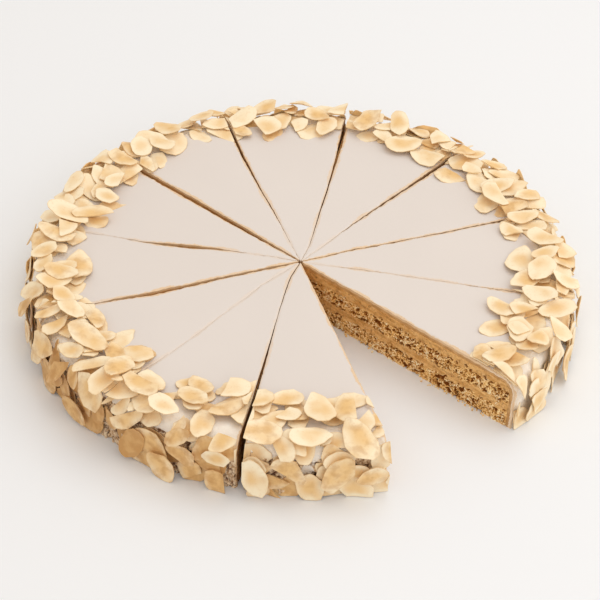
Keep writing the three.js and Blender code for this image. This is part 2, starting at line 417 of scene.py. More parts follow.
def close_joints(bm, amount):
    """Moves a layer's level and round faces out to meet the next layers. Its cut faces stay."""
    bm.normal_update()
    moves = []
    for vert in bm.verts:
        level = Vector()
        outward = Vector()
        for face in [f for f in vert.link_faces if not is_cut_face(f)]:
            if abs(face.normal.z) > SAME_WAY:
                level = face.normal.copy()
            else:
                outward += face.normal
        outward.normalize()
        moves.append((vert, (level + outward) * (amount / (1 + level.dot(outward)))))
    for vert, move in moves:
        vert.co += move
        vert.co.z = max(vert.co.z, 0.0)


def divide_cut_face(bm, face, step):
    """Divides an upright face into a fine grid."""
    level = UP.cross(face.normal)
    places = [level * v.co.dot(level) for v in face.verts]
    heights = sorted({round(v.co.z, 3) for v in face.verts})
    for low, high in zip(heights[:-1], heights[1:]):
        count = max(1, round((high - low) / step))
        heights = heights + [low + (high - low) * i / count for i in range(1, count)]
    planes = [(place, level) for place in places] + [(UP * height, UP) for height in heights]
    geometry = [face] + list(face.edges) + list(face.verts)
    for point, way in planes:
        made = bmesh.ops.bisect_plane(bm, geom=geometry, dist=1e-3, plane_co=point, plane_no=way)
        geometry = made["geom"]
    rungs = {}
    for edge in [g for g in geometry if isinstance(g, bmesh.types.BMEdge)]:
        along = edge.verts[1].co - edge.verts[0].co
        cuts = round(along.length / step) - 1
        if abs(along.z) < 0.01 and cuts > 0:
            rungs.setdefault(cuts, []).append(edge)
    for cuts, edges in rungs.items():
        bmesh.ops.subdivide_edges(bm, edges=edges, cuts=cuts, use_grid_fill=True)


def verts_on(bm, point, normal):
    """The vertices of the flat face that goes through a point and looks along a normal."""

    def faces_so(vert):
        return any(face.normal.dot(normal) > VERY_SAME_WAY for face in vert.link_faces)

    return [v for v in bm.verts if abs((v.co - point).dot(normal)) < ON_PLANE and faces_so(v)]


def eased(value, low=0.0, high=1.0):
    """0 below low, 1 above high, and a soft slope between."""
    share = max(0.0, min(1.0, (value - low) / (high - low)))
    return share * share * (3 - 2 * share)


def bubbles(point, size, seed):
    """A foam of bubbles about that size: 0 on their walls, up to 1 in the middle of an open one."""
    squashed = Vector((point.x, point.y, point.z * 1.35)) / size + Vector((seed, seed, seed))
    distances, centres = noise.voronoi(squashed)
    inside = eased(distances[1] - distances[0], 0.04, 0.34)
    openness = noise.cell(centres[0] * 91.7)
    return inside * eased(openness, 0.0, 0.7)


def crumb_depth(point):
    """How open the crumb is at a point: 0 is a firm strand of cake, 1 the bottom of a bubble."""
    warped = point + noise.noise_vector(point * 0.6) * 0.7
    crowd = 0.45 + 0.75 * eased(noise.noise(point * 0.16), -0.35, 0.35)
    large = bubbles(warped, LARGE_BUBBLE, 0.0) * crowd
    small = bubbles(warped, SMALL_BUBBLE, 31.0) * (0.35 + 0.5 * crowd)
    rough = noise.fractal(point * 1.6, 1.0, 2.0, 2)
    return max(0.0, min(1.0, max(large, small) + 0.2 * rough))


def crumb_share(point):
    """1 where a cut shows sponge and 0 where it shows cream. The line between them wanders, as the
    knife smears one over the other."""
    radius = math.hypot(point.x, point.y)
    to_line = min(abs(point.z - line) for line in CREAM_LINES)
    in_sponge = point.z < CREAM_LINES[0] or CREAM_LINES[1] < point.z < CREAM_LINES[2]
    inside = to_line if in_sponge else -to_line
    if point.z > FOOT_HEIGHT:
        inside = min(inside, CRUMB_RADIUS - radius)
    wander = 1.8 * noise.noise(point * 0.27) + 1.3 * noise.noise(point * 0.8)
    smear = 2.2 * max(0.0, noise.noise(point * 0.45 + Vector((3, 8, 1))) - 0.12)
    return eased(inside + wander + smear, -0.25, 0.25)


def dress_cut(bm, verts, normal, strength, gap_shade):
    """Gives a cut face its relief, bubbles in the sponge and drags in the cream, and stores for the
    colour how open and how much sponge each point is. The last argument is the painted shade inside
    the cut."""
    pore = bm.verts.layers.float["pore"]
    crumb = bm.verts.layers.float["crumb"]
    shade = bm.verts.layers.float["gap_shade"]
    for vert in verts:
        vert[shade] = gap_shade
        share = crumb_share(vert.co)
        outer = math.hypot(vert.co.x, vert.co.y) / CAKE_RADIUS
        openness = min(1.0, share * crumb_depth(vert.co) * (0.95 + 0.4 * outer))
        streaked = Vector((vert.co.x * 0.12, vert.co.y * 0.12, vert.co.z * 0.8))
        drag = 0.12 + CREAM_DRAG * noise.fractal(streaked, 1.0, 2.0, 3)
        nick = CREAM_NICK_DEPTH * max(0.0, noise.noise(vert.co * 0.55) - 0.5)
        lump = 0.3 + SPONGE_LUMP * noise.noise(vert.co * 0.35)
        vert[pore] = openness + (1 - share) * nick
        vert[crumb] = share
        relief = share * (lump - BUBBLE_DEPTH * openness) + (1 - share) * (drag - nick)
        vert.co += normal * (strength * relief)


def shade_smooth(bm, sharp_from=50):
    """Smooth shading, with the edges sharper than so many degrees kept as edges."""
    bm.normal_update()
    for face in bm.faces:
        face.smooth = True
    for edge in bm.edges:
        edge.smooth = edge.calc_face_angle(0.0) < math.radians(sharp_from)


# ---- Materials ----------------------------------------------------------------------------------


# The numbers of the colour sockets of a mix node.
MIX_SHARE, MIX_FIRST, MIX_SECOND, MIX_RESULT = 0, 6, 7, 2


class Finish:
    """A node material under way, with the object's own coordinates in metres at hand."""

    def __init__(self, name):
        self.material = bpy.data.materials.new(name)
        self.material.use_nodes = True
        self.tree = self.material.node_tree
        self.shader = self.tree.nodes["Principled BSDF"]
        self.place = self.node("ShaderNodeTexCoord").outputs["Object"]

    def feed(self, socket, value):
        """Puts a number, a colour or another node's output into a socket."""
        if isinstance(value, bpy.types.NodeSocket):
            self.tree.links.new(value, socket)
        else:
            socket.default_value = value

    def node(self, kind, inputs=None, **settings):
        """Adds a node, with its settings and what goes into its sockets."""
        made = self.tree.nodes.new(kind)
        for setting, value in settings.items():
            setattr(made, setting, value)
        for socket, value in (inputs or {}).items():
            self.feed(made.inputs[socket], value)
        return made

    def noise(self, size_mm, detail=2.0, roughness=0.5, stretch=(1, 1, 1)):
        """Cloudy noise with features of about that size."""
        mapping = self.node("ShaderNodeMapping", {"Vector": self.place, "Scale": stretch})
        inputs = {
            "Vector": mapping.outputs["Vector"],
            "Scale": 1 / MM / size_mm,
            "Detail": detail,
            "Roughness": roughness,
        }
        return self.node("ShaderNodeTexNoise", inputs).outputs["Fac"]

    def stored(self, name):
        """A number that the mesh carries at each point."""
        return self.node("ShaderNodeAttribute", attribute_name=name).outputs["Fac"]

    def ramp(self, value, low, high, start=0.0, end=1.0):
        """Maps value from low..high to start..end, softly and within those limits."""
        inputs = {"Value": value, "From Min": low, "From Max": high, "To Min": start, "To Max": end}
        made = self.node("ShaderNodeMapRange", inputs, interpolation_type="SMOOTHSTEP")
        return made.outputs["Result"]

    def reckoned(self, operation, first, second):
        """The outcome of a sum of two numbers."""
        made = self.node("ShaderNodeMath", {0: first, 1: second}, operation=operation)
        return made.outputs[0]

    def plus(self, first, second):
        return self.reckoned("ADD", first, second)

    def minus(self, first, second):
        return self.reckoned("SUBTRACT", first, second)

    def times(self, first, second):
        return self.reckoned("MULTIPLY", first, second)

    def mix(self, share, first, second):
        """Mixes two colours by a share from 0 to 1."""
        inputs = {MIX_SHARE: share, MIX_FIRST: first, MIX_SECOND: second}
        return self.node("ShaderNodeMix", inputs, data_type="RGBA").outputs[MIX_RESULT]

    def bump(self, height, depth_mm, strength, below=None):
        """Small relief that is only seen in the shading."""
        inputs = {"Strength": strength, "Distance": depth_mm * MM, "Height": height}
        if below:
            inputs["Normal"] = below
        return self.node("ShaderNodeBump", inputs).outputs["Normal"]

    def done(self, colour, roughness, specular, normal=None):
        """The material, with what was worked out fed to its shader."""
        self.feed(self.shader.inputs["Base Color"], colour)
        self.feed(self.shader.inputs["Roughness"], roughness)
        self.feed(self.shader.inputs["Specular IOR Level"], specular)
        if normal:
            self.feed(self.shader.inputs["Normal"], normal)
        return self.material


def icing_finish():
    """Smooth warm white on top, whiter and rougher whipped cream round the rim, thin enough low on
    the side for the sponge to show, with painted shade in its torn pits, and beige where the knife
    went through it, from dragged cream and crumbs and partly painted shade, with painted shade
    inside narrow cuts."""
    f = Finish("icing")
    whipped = f.stored("whipped")
    glaze = f.mix(f.noise(38, 2), *GLAZE)
    cream = f.mix(f.noise(3.5, 3), *WHIPPED_CREAM)
    colour = f.mix(whipped, glaze, cream)

    speckle = f.ramp(f.noise(1.2, 3, 0.7), 0.35, 0.62)
    torn = f.plus(f.stored("pit"), f.ramp(f.noise(1.0, 3, 0.7), 0.3, 0.7, -0.3, 0.3))
    # Crumb in the torn pits, darkened with painted shade the deeper the pit.
    crumby = f.mix(f.ramp(torn, 0.2, 0.9), f.mix(speckle, *THIN_CREAM), CRUMB_WITH_PIT_SHADE)
    bare = f.minus(f.stored("bare"), f.ramp(f.noise(3, 3, 0.6), 0.35, 0.65, 0.0, 0.5))
    colour = f.mix(f.ramp(bare, 0.05, 0.4, 0.0, 0.95), colour, crumby)

    width = f.ramp(f.noise(14, 2), 0.35, 0.7, 0.5, 1.5)
    reach = f.plus(f.stored("edge"), f.ramp(f.noise(1.6, 3, 0.7), 0.3, 0.7, 0.3, -0.3))
    stain = f.ramp(f.minus(reach, width), -0.5, 0.15, 0.8, 0.0)
    smear = f.mix(f.noise(1.1, 3, 0.6), *KNIFE_SMEAR)
    colour = f.mix(f.times(stain, f.stored("stained")), colour, smear)

    depth = f.plus(f.stored("depth"), f.ramp(f.noise(2.5, 3), 0.3, 0.7, -0.1, 0.1))
    # The cut side of the icing: beige from dragged cream and crumbs, and partly painted shade.
    inner = f.mix(f.noise(6, 3, stretch=(1, 1, 6)), *CUT_GLAZE_AND_SHADE)
    inner = f.mix(f.times(whipped, 0.9), inner, CUT_WHIPPED)
    creamy = f.mix(f.ramp(f.noise(5, 3, 0.6), 0.35, 0.65), *CREAM_UNDER_ICING)
    inner = f.mix(f.ramp(depth, 0.38, 0.52), inner, creamy)
    # Painted shade inside the narrow cut.
    inner = f.mix(f.times(f.stored("gap_shade"), 0.7), inner, GAP_SHADE_IN_ICING)
    skin = f.minus(depth, f.times(whipped, 0.22))
    colour = f.mix(f.ramp(skin, 0.1, 0.17), colour, inner)

    fine = f.bump(f.noise(1.4, 4, 0.6), 0.1, 0.2)
    bump = f.bump(f.times(f.noise(2.4, 5, 0.65), whipped), 0.9, 0.6, below=fine)
    return f.done(colour, f.ramp(whipped, 0, 1, 0.42, 0.65), 0.3, bump)


def almond_finish():
    """Pale dry almond: golden in the middle of the flake, creamy towards its rim, with a thin brown
    edge that is partly painted shade, painted light on its underside, and painted shade low on the
    shaded side.
    """
    f = Finish("flaked_almond")
    heart = f.stored("heart")
    tone = f.stored("tone")
    warmth = f.ramp(f.noise(9, 1), 0.25, 0.75, -0.2, 0.3)
    warmth = f.plus(f.ramp(heart, 0.0, 0.8, 0.0, 0.45), warmth)
    warmth = f.plus(warmth, f.times(tone, 0.4))
    colour = f.mix(f.ramp(warmth, 0.05, 1.05), PALE_ALMOND, GOLDEN_ALMOND)
    # Painted shade on flakes low on the side turned from the lamps, and a darker tone on some
    # flakes.
    dark_and_side_shade = f.plus(tone, f.ramp(f.noise(4, 3), 0.3, 0.7, 0.0, 0.8))
    colour = f.mix(f.ramp(dark_and_side_shade, 1.0, 2.5, 0.0, 0.85), colour, DARK_ALMOND_AND_SIDE_SHADE)
    # Painted light: the underside lighter, as if lit through the thin flake.
    colour = f.mix(f.times(f.stored("under"), 0.9), colour, UNDERSIDE_PAINTED_LIGHT)
    # A thin brown rim: what is left of the skin, and painted shade where flakes overlap.
    colour = f.mix(f.ramp(heart, 0.0, 0.07, 0.3, 0.0), colour, ALMOND_SKIN_AND_EDGE_SHADE)
    grain = f.noise(1.2, 3, 0.6)
    colour = f.mix(f.ramp(grain, 0.5, 0.8, 0.0, 0.25), colour, ALMOND_GRAIN)
    return f.done(colour, 0.55, 0.3, f.bump(grain, 0.1, 0.2))


def sponge_colour(f):
    """Open crumb: light strands of cake round bubbles darkened with painted shade."""
    pore = f.plus(f.stored("pore"), f.ramp(f.noise(0.8, 3, 0.75), 0.28, 0.72, -0.42, 0.42))
    strand = f.mix(f.ramp(f.noise(5, 3, 0.6), 0.42, 0.62), *SPONGE_STRAND)
    middle = f.mix(f.noise(4, 3), *SPONGE_MIDDLE)
    colour = f.mix(f.ramp(pore, -0.12, 0.14), strand, middle)
    # Painted shade in the bubbles: the more open, the darker.
    return f.mix(f.ramp(pore, 0.14, 0.46), colour, SPONGE_PORE_SHADE)


def cream_colour(f):
    """Dense light brown nut cream, streaked by the knife, with fine bits of nut and painted shade
    in the knife's nicks.
    """
    streak = f.noise(9, 4, 0.65, stretch=(1, 1, 5))
    colour = f.mix(f.ramp(streak, 0.36, 0.64), *CREAM_STREAK)
    colour = f.mix(f.ramp(f.noise(3.2, 4, 0.65), 0.5, 0.68, 0, 0.6), colour, CREAM_PATCH)
    colour = f.mix(f.ramp(f.noise(2.4, 3, 0.6), 0.32, 0.44, 0.6, 0.0), colour, NUT_BIT)
    colour = f.mix(f.ramp(f.noise(0.9, 3, 0.75), 0.45, 0.7, 0.0, 0.5), colour, NUT_DUST)
    # Painted shade in the knife's nicks, the deeper the darker.
    return f.mix(f.ramp(f.stored("pore"), 0.05, 0.35, 0, 0.7), colour, CREAM_NICK_SHADE)


def layer_finish(name, roughness):
    """Cream and sponge as a cut shows them: which of the two is stored at each point."""
    f = Finish(name)
    colour = f.mix(f.stored("crumb"), cream_colour(f), sponge_colour(f))
    # Painted shade inside the narrow cut.
    colour = f.mix(f.times(f.stored("gap_shade"), 0.65), colour, GAP_SHADE_IN_LAYERS)
    return f.done(colour, roughness, 0.2, f.bump(f.noise(0.8, 4, 0.7), 0.3, 0.5))


def floor_finish():
    f = Finish("floor")
    return f.done(f.mix(f.noise(400, 2), *FLOOR_COLOURS), 0.7, 0.2)


ICING = icing_finish()
ALMOND = almond_finish()
SPONGE = layer_finish("almond_sponge", roughness=0.85)
NUT_CREAM = layer_finish("nut_cream", roughness=0.6)


# ---- Sponge, filling and top cream --------------------------------------------------------------


def is_shown(index, face):
    """Whether a cut face looks onto the place of the missing slice."""
    if index == MISSING_SLICE - 1:
        return face.normal.dot(crosswise(cut_angle(MISSING_SLICE))) > SAME_WAY
    if index == MISSING_SLICE + 1:
        return face.normal.dot(crosswise(cut_angle(MISSING_SLICE + 1))) < -SAME_WAY
    return False


def cut_faces(bm, index):
    """Each face that the knife made, its middle, its normal and whether it is shown."""
    bm.normal_update()
    return [
        (face, face.calc_center_median(), face.normal.copy(), is_shown(index, face))
        for face in bm.faces
        if is_cut_face(face) and face.calc_area() > SMALLEST_CUT_FACE
    ]


def cake_layer(name, index, node, crumb, material):
    """One layer of a slice, dressed where it was cut. crumb is 1 for a sponge and 0 for a cream."""
    bm = whole_faces(node)
    close_joints(bm, JOIN_GAP / 2)
    bm.verts.layers.float.new("pore")
    bm.verts.layers.float.new("gap_shade")
    layer = bm.verts.layers.float.new("crumb")
    for vert in bm.verts:
        vert[layer] = crumb
    cuts = cut_faces(bm, index)
    for face, _, _, shown in cuts:
        divide_cut_face(bm, face, SHOWN_CRUMB_STEP if shown else HIDDEN_CRUMB_STEP)
    shade_smooth(bm)
    dressed = [(verts_on(bm, point, normal), normal, shown) for _, point, normal, shown in cuts]
    for verts, normal, shown in dressed:
        near = index if normal.dot(crosswise(cut_angle(index))) < -SAME_WAY else index + 1
        strength = SHOWN_RELIEF if shown else HIDDEN_RELIEF
        dress_cut(bm, verts, normal, strength, PAINTED_GAP_SHADE[near % PORTIONS])
    finish_piece(name, bm, material, [node])


# ---- Icing --------------------------------------------------------------------------------------


def coat_path(tip):
    """Lengths along the outline for the rows of the icing's mesh: wide on the plain top, close
    together where the almonds are, round the rim and down the side."""
    inner = np.linspace(tip - FLAT_RADIUS, -FLAKED_BAND, COAT_TOP_ROWS, endpoint=False)
    rows = round((OUTLINE_END + FLAKED_BAND) / COAT_RIM_STEP)
    outer = np.linspace(-FLAKED_BAND, OUTLINE_END, rows + 1)
    return list(inner) + list(outer)


def whipped_share(point, along):
    """1 where the icing is rough whipped cream, 0 where it is smooth."""
    return eased(along + 9 + 7 * noise.noise(point * 0.12), 0.0, 9.0)


def bare_share(point, along):
    """1 where the cream on the side is so thin that crumbs show: mostly low, and on one side."""
    bearing = math.atan2(point.y, point.x)
    facing = max(0.0, math.cos(bearing - THIN_CREAM_AND_SHADE_BEARING))
    patch = noise.fractal(point * 0.09, 0.8, 2.0, 3)
    return eased(eased(along, 2, 18) * (1.2 * facing + 0.5 * patch), 0.35, 0.6)


def torn(point):
    """How torn the thin cream is at a point: 0 on a ridge of cream, 1 down on the crumb."""
    warped = point + noise.noise_vector(point * 0.5) * 1.2
    ridge = abs(noise.noise(warped * 0.3 + Vector((4, 1, 7))))
    ridge += 0.6 * abs(noise.noise(warped * 0.75))
    return max(eased(0.4 - ridge, 0.0, 0.3), 0.8 * bubbles(warped, TORN_BUBBLE, 5.0))


def cream_relief(point, whipped, bare, pit):
    """How far the icing stands proud of its plain outline: flat on top, rough on rim and side."""
    wave = ICING_WAVE * noise.noise(point * 0.045)
    rough = WHIPPED_ROUGHNESS * noise.fractal(point * 0.16, 0.9, 2.1, 5)
    peak = max(0.0, noise.fractal(point * 0.33 + Vector((9, 9, 9)), 0.8, 2.0, 3))
    torn_in = bare * (0.4 - TORN_DEPTH * pit)
    return wave + whipped * (rough + WHIPPED_PEAKS * peak - 0.25 + torn_in)


def across_slice(share):
    """Spreads the columns of the icing's mesh so that they stand closer at the two cuts."""
    return 0.45 * share + 0.55 * (0.5 - 0.5 * math.cos(math.pi * share))


def raggedness(index, side, along, radius):
    """How far the icing broke back from a cut, at a length along its outline."""
    torn_off = max(0.0, noise.fractal(Vector((along * 0.3, index * 7.3, side * 3.1)), 1.0, 2.0, 3))
    return RAGGED_EDGE * torn_off * (1 - 0.9 * closed_share(index, radius))


def spread_coat(bm, index, path):
    """Lays a flat grid along the icing's outline from one cut to the next, and stores what its
    colour and its relief go by."""
    edge, stained, gap_shade, whipped, bare, pit, length = [
        bm.verts.layers.float[mark] for mark in OUTER_MARKS
    ]
    for vert in bm.verts:
        column = across_slice(vert.co.x + 0.5)
        along = path[round((vert.co.y + 0.5) * (len(path) - 1))]
        radius, height, _ = outline_at(along)
        first = crack_bearing(index, 1, radius) + raggedness(index, 1, along, radius) / radius
        last = crack_bearing(index + 1, -1, radius)
        last -= raggedness(index + 1, -1, along, radius) / radius
        bearing = first + (last - first) * column
        near = index if column < 0.5 else index + 1
        vert[edge] = min(column, 1 - column) * (last - first) * radius
        vert[stained] = 1 - 0.85 * max(0.0, closed_share(near, radius))
        # How much painted shade the icing gets inside the nearby cut.
        vert[gap_shade] = PAINTED_GAP_SHADE[near % PORTIONS]
        vert.co = Vector((radius * math.cos(bearing), radius * math.sin(bearing), height))
        vert[whipped] = whipped_share(vert.co, along)
        vert[bare] = bare_share(vert.co, along)
        vert[pit] = torn(vert.co)
        vert[length] = along + OUTSIDE_MARK


def thicken_coat(bm):
    """Gives the icing its thickness, and marks the points of its inner side."""
    bmesh.ops.recalc_face_normals(bm, faces=bm.faces)
    if sum(f.normal.z for f in bm.faces) < 0:
        bmesh.ops.reverse_faces(bm, faces=bm.faces)
    made = bmesh.ops.solidify(bm, geom=bm.faces[:], thickness=ICING_THICKNESS)
    for vert in [g for g in made["geom"] if isinstance(g, bmesh.types.BMVert)]:
        vert[bm.verts.layers.float["length"]] = 0
        vert[bm.verts.layers.float["depth"]] = 1


def roughen_coat(bm):
    """Gives the icing's outer side its relief, and lowers its edge where the knife dragged it."""
    edge, _, _, whipped, bare, pit, length = [bm.verts.layers.float[mark] for mark in OUTER_MARKS]
    for vert in [v for v in bm.verts if v[length] > 0]:
        _, _, tilt = outline_at(vert[length] - OUTSIDE_MARK)
        out = Vector((vert.co.x, vert.co.y, 0)).normalized()
        drag = (0.2 + 0.5 * noise.noise(vert.co * 0.8)) * max(0.0, 1 - vert[edge] / DRAG_WIDTH)
        relief = cream_relief(vert.co, vert[whipped], vert[bare], vert[pit])
        vert.co += facing_out(out, tilt) * (relief - max(0.0, drag))
        vert.co.z = max(vert.co.z, 0.0)
    bm.verts.layers.float.remove(length)


def icing_coat(name, index, node):
    """The icing of one slice: over its top, round the rim and down the side."""
    path = coat_path(tip_radius(index) + 0.05)
    bm = bmesh.new()
    bmesh.ops.create_grid(bm, x_segments=COAT_COLUMNS, y_segments=len(path) - 1, size=0.5)
    for mark in OUTER_MARKS + ("depth",):
        bm.verts.layers.float.new(mark)
    spread_coat(bm, index, path)
    thicken_coat(bm)
    roughen_coat(bm)
    shade_smooth(bm)
    finish_piece(name, bm, ICING, [node])


# ---- Flaked almonds: the plan -------------------------------------------------------------------


class Draws:
    """Seeded draws between two limits, as the CAD part makes them."""

    FACTOR = 1664525
    STEP = 1013904223
    RANGE = 2**32

    def __init__(self, seed):
        self.state = seed

    def __call__(self, low, high):
        self.state = (self.state * self.FACTOR + self.STEP) % self.RANGE
        return low + (high - low) * self.state / self.RANGE


# Where a flake lies, by bearing and by length along the icing's outline, its size and its turns.
Flake = namedtuple("Flake", "bearing along length width spin pitch roll")


def plan_flakes(rows, lengths, draw):
    """Where each flake lies and how it leans, row by row."""
    flakes = []
    for place, count, pitch_most, stray in rows:
        for i in range(count):
            bearing = math.radians(360 / count * (i + draw(-BEARING_STRAY, BEARING_STRAY)))
            lean = FRONT_LEAN * math.sin(bearing) if place < 0 else 0.0
            along = place + lean + draw(-stray, stray)
            length = draw(*lengths)
            width = length * draw(*FLAKE_SLENDERNESS)
            spin = draw(0, 2 * math.pi)
            pitch = math.radians(draw(FLAKE_PITCH_LEAST, pitch_most))
            roll = math.radians(draw(-FLAKE_ROLL_MOST, FLAKE_ROLL_MOST))
            flakes.append(Flake(bearing, along, length, width, spin, pitch, roll))
    return flakes


def bunched(flake):
    """Moves a small flake that lies on top in or out, so that they end in bunches and bays."""
    place = away(flake.bearing) * (CAKE_RADIUS / BUNCH_SIZE)
    shift = BUNCH_REACH * noise.noise(place) * eased(-flake.along, -4, 4)
    return flake._replace(along=flake.along + shift)


def flake_matrix(flake):
    """Sets a flake on the icing: its long axis turned by spin, its outer end lifted by pitch and
    its outer edge by roll."""
    radius, height, tilt = outline_at(flake.along)
    laid = float(np.interp(flake.along, LAID_PLACES, LAID_TILTS))
    pitch = math.copysign(flake.pitch * laid, math.sin(flake.spin))
    roll = math.copysign(flake.roll * laid, -math.cos(flake.spin))
    out = away(flake.bearing)
    normal = facing_out(out, tilt)
    around = UP.cross(out)
    down = around.cross(normal)
    long = around * math.cos(flake.spin) + down * math.sin(flake.spin)
    side = normal.cross(long)
    lifted = long * math.cos(pitch) + normal * math.sin(pitch)
    face = lifted.cross(side)
    rolled = side * math.cos(roll) + face * math.sin(roll)
    facing = lifted.cross(rolled)
    rise = flake.length / 2 * abs(math.sin(pitch)) + flake.width / 2 * abs(math.sin(roll))
    centre = out * radius + UP * height + normal * (rise - FLAKE_SET_IN)
    turn = Matrix((lifted, rolled, facing)).transposed().to_4x4()
    return Matrix.Translation(centre) @ turn


def icing_normal(flake):
    """The way the icing faces under a flake."""
    _, _, tilt = outline_at(flake.along)
    return facing_out(away(flake.bearing), tilt)


# ---- Flaked almonds: the form of a flake --------------------------------------------------------


def half_width(x, point):
    """A flake's outline: round at one end (x = -1), and at the other (x = 1) the more pointed, the
    larger the number point is from 0.5 up."""
    broadest = (0.5 - point) / (0.5 + point)
    return math.sqrt((1 + x) / (1 + broadest)) * ((1 - x) / (1 - broadest)) ** point


def marked_mesh():
    """An empty mesh that can store how near the middle of a flake each point is, whether it lies
    on the flake's underside, and the flake's own tone with any painted shade added to it."""
    bm = bmesh.new()
    for name in FLAKE_MARKS:
        bm.verts.layers.float.new(name)
    return bm


def trim(bm, point, normal):
    """Cuts off what lies past a plane and closes the cut."""
    geometry = bm.verts[:] + bm.edges[:] + bm.faces[:]
    bmesh.ops.bisect_plane(
        bm, geom=geometry, dist=1e-4, plane_co=point, plane_no=normal, clear_outer=True
    )
    open_edges = [e for e in bm.edges if e.is_boundary]
    if open_edges:
        bmesh.ops.holes_fill(bm, edges=open_edges, sides=0)


def break_flake(bm, width, broken, whim):
    """Breaks a broken flake across, and chips the edge of any."""
    if broken:
        way = away(whim.uniform(0, 2 * math.pi))
        trim(bm, way * (width * whim.uniform(*BREAK_PLACE)), way)
    for _ in range(CHIPS):
        way = away(whim.uniform(0, 2 * math.pi))
        reach = max(v.co.dot(way) for v in bm.verts)
        trim(bm, way * (reach * whim.uniform(*CHIP_PLACE)), way)


def flake_mesh(length, width, broken, whim):
    """A thin leaf, round at one end and pointed at the other, cupped and a little warped."""
    bm = marked_mesh()
    heart = bm.verts.layers.float["heart"]
    under = bm.verts.layers.float["under"]
    bmesh.ops.create_circle(bm, cap_ends=True, cap_tris=True, segments=FLAKE_CORNERS, radius=1.0)
    for vert in bm.verts:
        vert[heart] = 1.0 - min(1.0, vert.co.length)
    bmesh.ops.solidify(bm, geom=bm.faces[:], thickness=FLAKE_THICKNESS)
    bmesh.ops.recalc_face_normals(bm, faces=bm.faces)
    bend = whim.uniform(-FLAKE_BEND, FLAKE_BEND)
    twist = whim.uniform(-FLAKE_TWIST, FLAKE_TWIST)
    nick = whim.uniform(0, 2 * math.pi)
    point = whim.uniform(*FLAKE_POINT)
    for vert in bm.verts:
        x, y = vert.co.x, vert.co.y
        turn = math.atan2(y, x)
        uneven = 1 + 0.05 * math.sin(2 * turn + nick) + 0.03 * math.sin(5 * turn + 3 * nick)
        uneven += 0.025 * math.sin(9 * turn + 5 * nick)
        cup = FLAKE_CUP * length * (x * x - 0.5) + width * (bend * y * y + twist * x * y)
        reach = math.hypot(x, y)
        at_edge = reach > 0.5
        half = width / 2 * half_width(x / reach, point) * reach if at_edge else 0.0
        side = math.copysign(half, y) if abs(y) > 1e-4 else 0.0
        vert[under] = 1.0 if vert.co.z < 0 else 0.0
        height = (vert.co.z + FLAKE_THICKNESS / 2) * (FLAKE_EDGE_SHARE if at_edge else 1.0)
        vert.co = Vector((length / 2 * x * uneven, side * uneven, height + cup))
    break_flake(bm, width, broken, whim)
    return bm


def placed_flake(flake, broken, tone):
    """A flake where it lies, before the knife."""
    whim = random.Random(round(flake.bearing * 1e6))
    bm = flake_mesh(flake.length, flake.width, broken, whim)
    layer = bm.verts.layers.float["tone"]
    for vert in bm.verts:
        vert[layer] = tone
    bmesh.ops.transform(bm, matrix=flake_matrix(flake), verts=bm.verts)
    return bm


# ---- Flaked almonds: how they come to lie -------------------------------------------------------


def clearance(bm):
    """How far the lowest point of a flake is from the icing."""
    return min(height_over_icing(v.co) for v in bm.verts)


def settle(bm, normal, lying):
    """Lets a flake down onto the icing, then up until it clears the flakes that already lie there.
    Says how many steps up that took."""
    bmesh.ops.translate(bm, vec=normal * (-SETTLE_DEPTH - clearance(bm)), verts=bm.verts)
    for step in range(SETTLE_STEPS):
        if not BVHTree.FromBMesh(bm).overlap(lying):
            return step
        bmesh.ops.translate(bm, vec=normal * SETTLE_STEP, verts=bm.verts)
    return SETTLE_STEPS


def laid_flake(flake, broken, tone, lying):
    """A flake at the tilt at which it lies lowest on the others, or none where it can't lie."""
    lowest = SETTLE_STEPS
    best = None
    for pitch_share, roll_share in TILTS_TRIED:
        tilted = flake._replace(pitch=flake.pitch * pitch_share, roll=flake.roll * roll_share)
        bm = placed_flake(tilted, broken, tone)
        steps = settle(bm, icing_normal(flake), lying)
        if steps >= lowest:
            bm.free()
            continue
        if best:
            best.free()
        lowest = steps
        best = bm
        if steps == 0:
            break
    return best


def widest(bm):
    """The greatest distance from a flake's first corner to another."""
    start = next(iter(bm.verts)).co
    return max((v.co - start).length for v in bm.verts)


def lies_in_slice(bm, index):
    """Trims a flake to its slice as the knife did. Says whether what is left holds to the icing."""
    middle = sum((v.co for v in bm.verts), Vector()) / len(bm.verts)
    radius = math.hypot(middle.x, middle.y)
    for number, side in ((index, 1), (index + 1, -1)):
        across = crosswise(cut_angle(number))
        trim(bm, across * crack_offset(number, side, radius), across * -side)
        if len(bm.verts) < SCRAP_CORNERS:
            return False
    return clearance(bm) < HIGHEST_LAID and widest(bm) > SCRAP_SIZE


def painted_side_shade(flake):
    """How much painted shade darkens a flake that sits low on the side turned from the lamps, where
    the cream is thin.
    """
    facing = max(0.0, math.cos(flake.bearing - THIN_CREAM_AND_SHADE_BEARING))
    return 1.3 * facing**4 * eased(flake.along, 0, 16)


def crosses_slice(flake, index):
    """Whether a flake may reach into a slice."""
    reach = flake.length / CAKE_RADIUS
    first, last = cut_angle(index), cut_angle(index + 1)
    return (flake.bearing - first + reach) % (2 * math.pi) < last - first + 2 * reach


